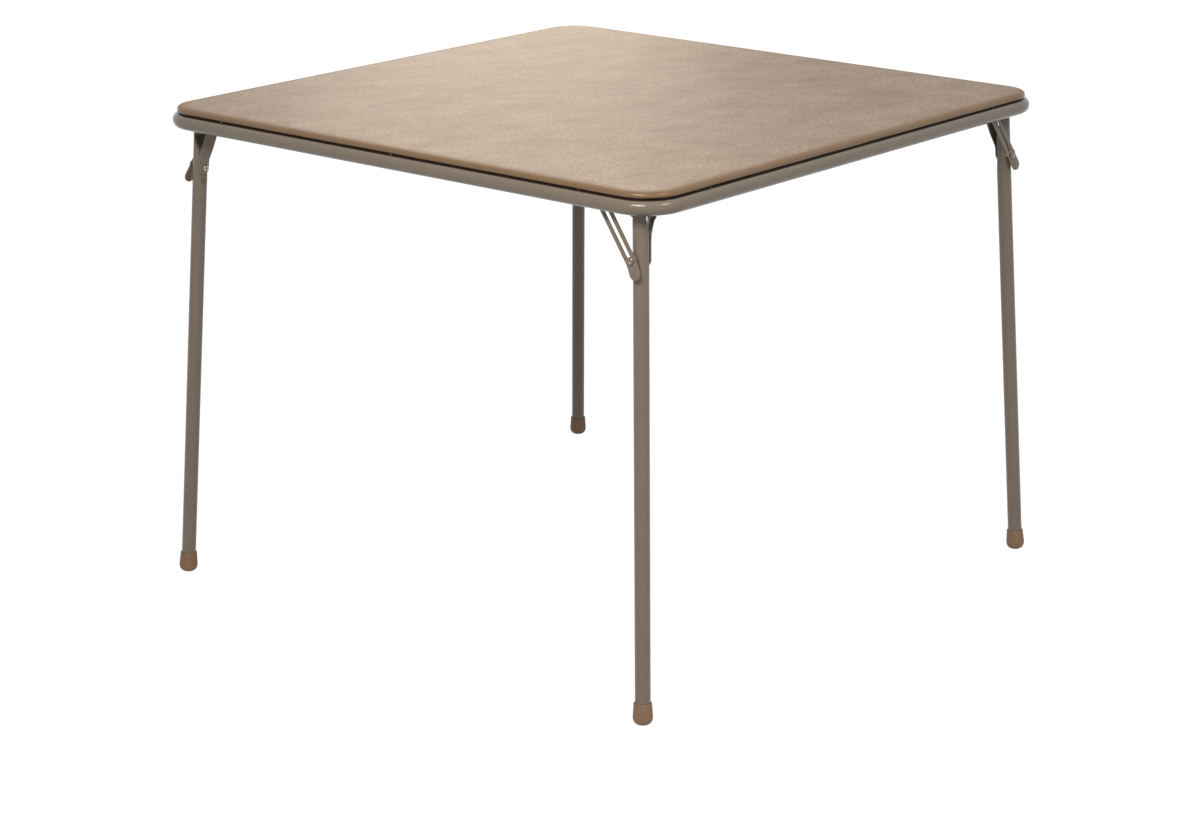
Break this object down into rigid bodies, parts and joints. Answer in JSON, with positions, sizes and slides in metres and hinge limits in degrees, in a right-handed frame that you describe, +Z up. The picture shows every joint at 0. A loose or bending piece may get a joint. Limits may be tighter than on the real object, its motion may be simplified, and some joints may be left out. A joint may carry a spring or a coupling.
{
  "type": "folding card table",
  "caption": "Square padded card table on a round-tube frame, with splayed tube legs that fold under the top and lock with slotted levers.",
  "frame": {"origin": "on the floor, under the middle of the top", "axes": "+Z up; the rails run along X and Y"},
  "size_m": [0.982, 0.982, 0.7493],
  "materials": {
    "painted_steel": "satin taupe powder coat",
    "zinc_steel": "bright zinc plate",
    "stud_steel": "satin taupe powder coat, worn on the rim",
    "vinyl": "mottled embossed vinyl, tan round the edge",
    "foam": "open-cell foam",
    "hardboard": "smooth brown hardboard",
    "rubber": "moulded brown rubber"
  },
  "bodies": {
    "frame": {"frame_tube": "painted_steel", "panel_board": "hardboard", "foam_pad": "foam", "vinyl_cover": "vinyl", "panel_screws": "zinc_steel", "bracket_rivets": "zinc_steel", "hinge_bracket_front_right": "painted_steel", "hinge_pin_front_right": "zinc_steel", "lever_rivet_front_right": "zinc_steel", "hinge_bracket_front_left": "painted_steel", "hinge_pin_front_left": "zinc_steel", "lever_rivet_front_left": "zinc_steel", "hinge_bracket_rear_left": "painted_steel", "hinge_pin_rear_left": "zinc_steel", "lever_rivet_rear_left": "zinc_steel", "hinge_bracket_rear_right": "painted_steel", "hinge_pin_rear_right": "zinc_steel", "lever_rivet_rear_right": "zinc_steel"},
    "leg_front_right": {"leg_tube_front_right": "painted_steel", "leg_strap_front_right": "painted_steel", "hinge_spacer_front_right": "zinc_steel", "cross_rivet_front_right": "zinc_steel", "foot_tip_front_right": "rubber"},
    "lever_front_right": {"lock_lever_front_right": "painted_steel"},
    "stud_front_right": {"lock_stud_front_right": "stud_steel"},
    "leg_front_left": {"leg_tube_front_left": "painted_steel", "leg_strap_front_left": "painted_steel", "hinge_spacer_front_left": "zinc_steel", "cross_rivet_front_left": "zinc_steel", "foot_tip_front_left": "rubber"},
    "lever_front_left": {"lock_lever_front_left": "painted_steel"},
    "stud_front_left": {"lock_stud_front_left": "stud_steel"},
    "leg_rear_left": {"leg_tube_rear_left": "painted_steel", "leg_strap_rear_left": "painted_steel", "hinge_spacer_rear_left": "zinc_steel", "cross_rivet_rear_left": "zinc_steel", "foot_tip_rear_left": "rubber"},
    "lever_rear_left": {"lock_lever_rear_left": "painted_steel"},
    "stud_rear_left": {"lock_stud_rear_left": "stud_steel"},
    "leg_rear_right": {"leg_tube_rear_right": "painted_steel", "leg_strap_rear_right": "painted_steel", "hinge_spacer_rear_right": "zinc_steel", "cross_rivet_rear_right": "zinc_steel", "foot_tip_rear_right": "rubber"},
    "lever_rear_right": {"lock_lever_rear_right": "painted_steel"},
    "stud_rear_right": {"lock_stud_rear_right": "stud_steel"}
  },
  "joints": [
    {"name": "leg_fold_front_right", "type": "hinge", "parent": "frame", "child": "leg_front_right", "pos_m": [0.4276, -0.44025, 0.719], "axis": [0, 0.9987, -0.0501], "range_deg": [0, 92.84]},
    {"name": "lever_swing_front_right", "type": "hinge", "parent": "frame", "child": "lever_front_right", "pos_m": [0.3742, -0.44005, 0.723], "axis": [0, 0.9987, -0.0501], "range_deg": [0, 126.01]},
    {"name": "stud_slide_front_right", "type": "slide", "parent": "lever_front_right", "child": "stud_front_right", "axis": [-0.5876, 0.0405, 0.8081], "range_m": [0, 0.07471]},
    {"name": "leg_fold_front_left", "type": "hinge", "parent": "frame", "child": "leg_front_left", "pos_m": [-0.44025, -0.4276, 0.719], "axis": [0.9987, 0, -0.0501], "range_deg": [0, 92.84]},
    {"name": "lever_swing_front_left", "type": "hinge", "parent": "frame", "child": "lever_front_left", "pos_m": [-0.44005, -0.3742, 0.723], "axis": [0.9987, 0, -0.0501], "range_deg": [0, 126.01]},
    {"name": "stud_slide_front_left", "type": "slide", "parent": "lever_front_left", "child": "stud_front_left", "axis": [0.0405, 0.5876, 0.8081], "range_m": [0, 0.07471]},
    {"name": "leg_fold_rear_left", "type": "hinge", "parent": "frame", "child": "leg_rear_left", "pos_m": [-0.4276, 0.44025, 0.719], "axis": [0, -0.9987, -0.0501], "range_deg": [0, 92.84]},
    {"name": "lever_swing_rear_left", "type": "hinge", "parent": "frame", "child": "lever_rear_left", "pos_m": [-0.3742, 0.44005, 0.723], "axis": [0, -0.9987, -0.0501], "range_deg": [0, 126.01]},
    {"name": "stud_slide_rear_left", "type": "slide", "parent": "lever_rear_left", "child": "stud_rear_left", "axis": [0.5876, -0.0405, 0.8081], "range_m": [0, 0.07471]},
    {"name": "leg_fold_rear_right", "type": "hinge", "parent": "frame", "child": "leg_rear_right", "pos_m": [0.44025, 0.4276, 0.719], "axis": [-0.9987, 0, -0.0501], "range_deg": [0, 92.84]},
    {"name": "lever_swing_rear_right", "type": "hinge", "parent": "frame", "child": "lever_rear_right", "pos_m": [0.44005, 0.3742, 0.723], "axis": [-0.9987, 0, -0.0501], "range_deg": [0, 126.01]},
    {"name": "stud_slide_rear_right", "type": "slide", "parent": "lever_rear_right", "child": "stud_rear_right", "axis": [-0.0405, -0.5876, 0.8081], "range_m": [0, 0.07471]}
  ],
  "couplings": [
    {"joint": "lever_swing_front_right", "follows": "leg_fold_front_right", "ratio": 1.357},
    {"joint": "stud_slide_front_right", "follows": "leg_fold_front_right", "m_per_rad": 0.046079},
    {"joint": "lever_swing_front_left", "follows": "leg_fold_front_left", "ratio": 1.357},
    {"joint": "stud_slide_front_left", "follows": "leg_fold_front_left", "m_per_rad": 0.046079},
    {"joint": "lever_swing_rear_left", "follows": "leg_fold_rear_left", "ratio": 1.357},
    {"joint": "stud_slide_rear_left", "follows": "leg_fold_rear_left", "m_per_rad": 0.046079},
    {"joint": "lever_swing_rear_right", "follows": "leg_fold_rear_right", "ratio": 1.357},
    {"joint": "stud_slide_rear_right", "follows": "leg_fold_rear_right", "m_per_rad": 0.046079}
  ]
}
